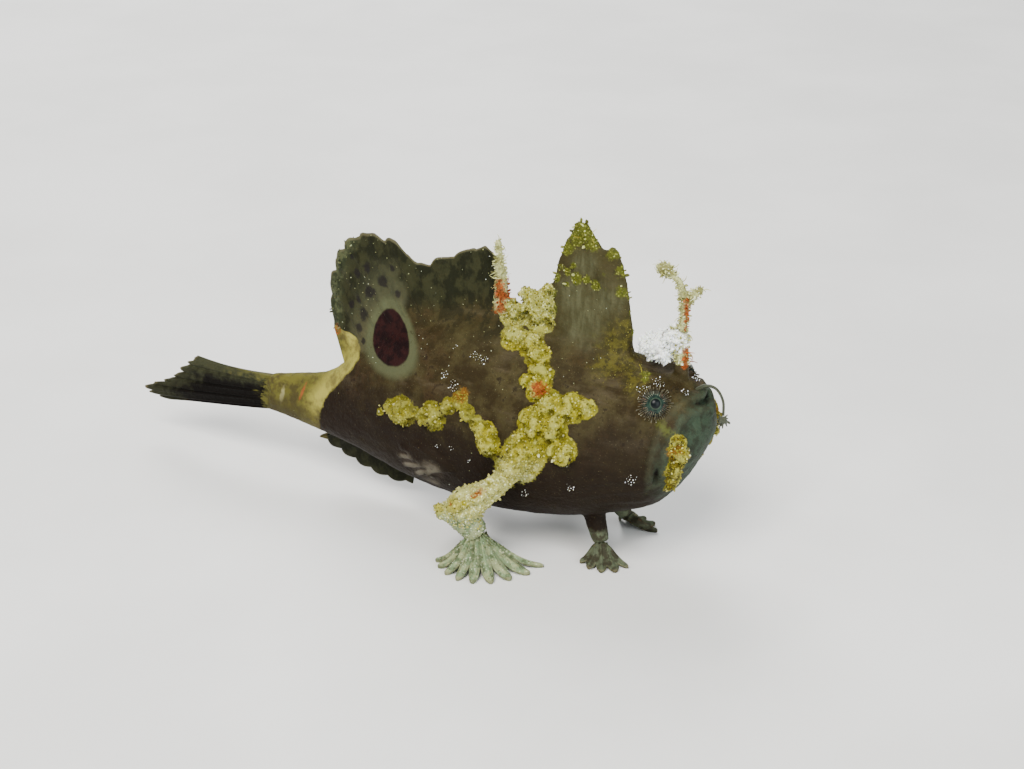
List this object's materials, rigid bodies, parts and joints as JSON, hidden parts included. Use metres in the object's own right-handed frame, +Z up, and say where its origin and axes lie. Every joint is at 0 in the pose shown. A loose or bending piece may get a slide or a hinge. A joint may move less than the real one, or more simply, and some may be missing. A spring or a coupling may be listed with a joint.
{
  "type": "frogfish model",
  "caption": "Life-size museum model of a small frogfish standing on its hand-like fins, with an eyespot on the back fin and a tall spine fin on the head.",
  "frame": {"origin": "on the floor, under the middle of the fish's overall length and on its midline", "axes": "+X from the tail to the mouth, +Y to the fish's left, +Z up"},
  "size_m": [0.0619, 0.024, 0.0305],
  "materials": {
    "body_skin": "wet brown skin",
    "peduncle_skin": "pale cream yellow skin",
    "dark_fin": "blackish brown fin skin",
    "arm_skin": "yellow green warty skin",
    "pale_fin": "pale green translucent fin skin",
    "white_skin": "white fluffy skin flaps",
    "eye": "wet glossy eye with light spokes"
  },
  "bodies": {
    "root": {"torso": "body_skin", "head": "body_skin", "tail_peduncle": "peduncle_skin", "caudal_fin": "dark_fin", "soft_dorsal_fin": "body_skin", "anal_fin": "body_skin", "third_dorsal_spine": "body_skin", "second_dorsal_spine": "white_skin", "illicium": "white_skin", "eye_left": "eye", "eye_right": "eye", "pectoral_arm_left": "arm_skin", "pectoral_arm_right": "arm_skin", "pectoral_fin_left": "pale_fin", "pectoral_fin_right": "pale_fin", "pelvic_fin_left": "pale_fin", "pelvic_fin_right": "pale_fin"}
  },
  "joints": []
}
